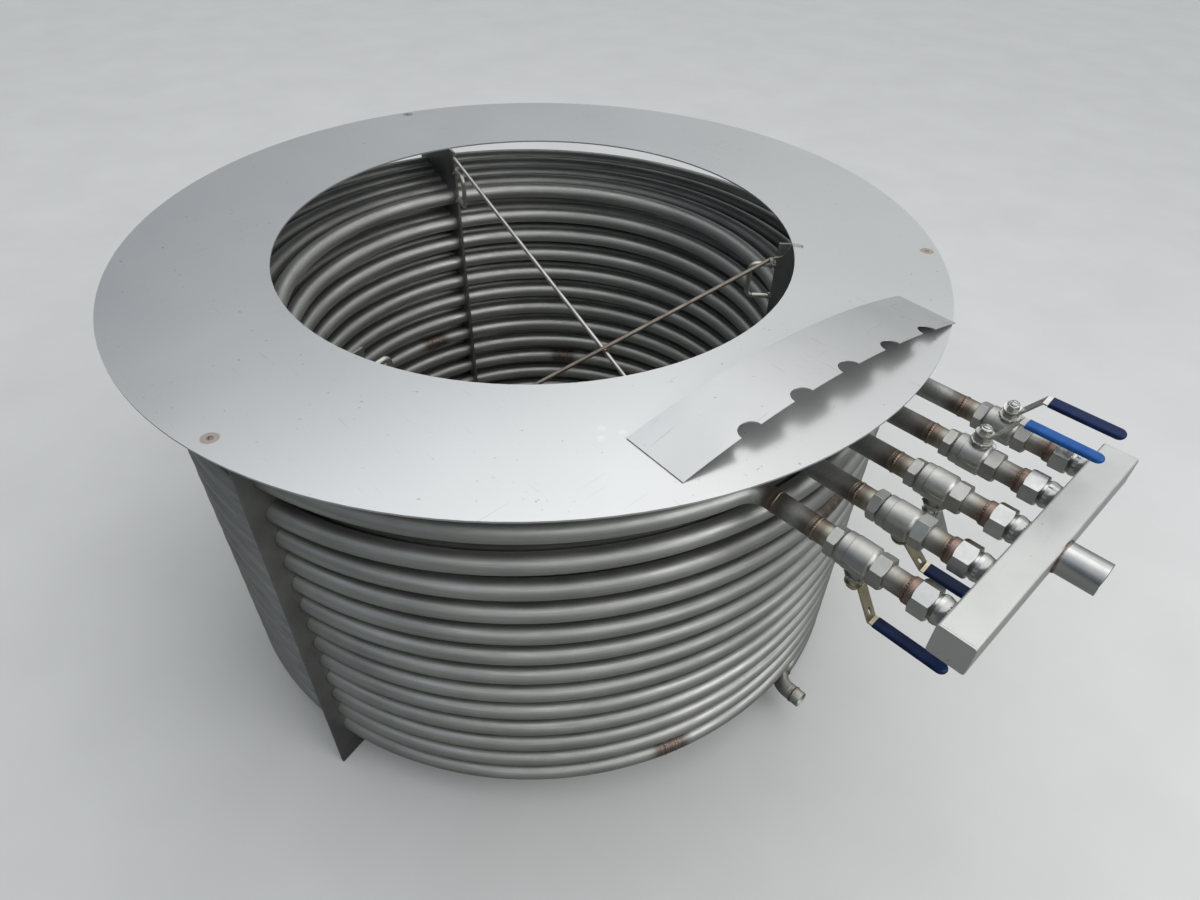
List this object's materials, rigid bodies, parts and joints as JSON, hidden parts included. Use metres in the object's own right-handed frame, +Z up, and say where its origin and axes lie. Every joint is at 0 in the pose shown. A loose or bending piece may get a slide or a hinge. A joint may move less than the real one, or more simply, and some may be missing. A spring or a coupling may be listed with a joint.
{
  "type": "coil heat exchanger",
  "caption": "Helical tube coil in nested layers on drilled plates under a flat ring, with pipes through lever ball valves and unions into a square header with an outlet stub.",
  "frame": {"origin": "on the axis of the coil at floor level, in the middle of the three plates that it stands on", "axes": "+Z up along the coil's axis, +X the way the five pipes run out to the header, +Y to the left of that way"},
  "size_m": [1.8148, 1.4998, 0.8897],
  "materials": {
    "ring_sheet": "matt rolled sheet",
    "plate_steel": "dull mill",
    "bar_steel": "drawn",
    "tube_steel": "satin",
    "cast_steel": "blasted casting",
    "lever_steel": "satin strip",
    "polished_steel": "turned and polished",
    "header_steel": "matt",
    "grip_navy": "dipped soft plastic",
    "grip_blue": "dipped soft plastic"
  },
  "bodies": {
    "coil_and_header": {"ring_plate": "ring_sheet", "support_plate_front": "plate_steel", "support_plate_right": "plate_steel", "support_plate_back": "plate_steel", "lifting_handles": "bar_steel", "cross_rod_long": "bar_steel", "cross_rod_short": "bar_steel", "coil_layer_1_outer": "tube_steel", "coil_layer_2": "tube_steel", "coil_layer_3": "tube_steel", "coil_layer_4": "tube_steel", "coil_layer_5_inner": "tube_steel", "top_elbows": "tube_steel", "connection_pipes": "tube_steel", "low_outlet": "tube_steel", "valve_inlet_nipples": "tube_steel", "valve_outlet_nipples": "tube_steel", "valve_body_1": "cast_steel", "valve_body_2": "cast_steel", "valve_body_3": "cast_steel", "valve_body_4": "cast_steel", "valve_body_5": "cast_steel", "valve_stem_3": "polished_steel", "valve_lever_3": "lever_steel", "lever_grip_3": "grip_navy", "union_tails": "tube_steel", "union_nuts": "polished_steel", "union_necks": "polished_steel", "header_box": "header_steel", "header_end_caps": "header_steel", "outlet_stub": "polished_steel", "cover_strip": "ring_sheet"},
    "lever_1": {"valve_stem_1": "polished_steel", "valve_lever_1": "lever_steel", "lever_grip_1": "grip_navy"},
    "lever_2": {"valve_stem_2": "polished_steel", "valve_lever_2": "lever_steel", "lever_grip_2": "grip_navy"},
    "lever_4": {"valve_stem_4": "polished_steel", "valve_lever_4": "lever_steel", "lever_grip_4": "grip_blue"},
    "lever_5": {"valve_stem_5": "polished_steel", "valve_lever_5": "lever_steel", "lever_grip_5": "grip_navy"}
  },
  "joints": [
    {"name": "valve_1_turn", "type": "hinge", "parent": "coil_and_header", "child": "lever_1", "pos_m": [0.837, -0.15, 0.758], "axis": [0, 0, -1], "range_deg": [0, 90]},
    {"name": "valve_2_turn", "type": "hinge", "parent": "coil_and_header", "child": "lever_2", "pos_m": [0.837, -0.05, 0.758], "axis": [0, 0.342, -0.9397], "range_deg": [0, 90]},
    {"name": "valve_4_turn", "type": "hinge", "parent": "coil_and_header", "child": "lever_4", "pos_m": [0.837, 0.15, 0.758], "axis": [0, 0, -1], "range_deg": [0, 90]},
    {"name": "valve_5_turn", "type": "hinge", "parent": "coil_and_header", "child": "lever_5", "pos_m": [0.837, 0.25, 0.758], "axis": [0, -0.2419, 0.9703], "range_deg": [0, 90]}
  ]
}
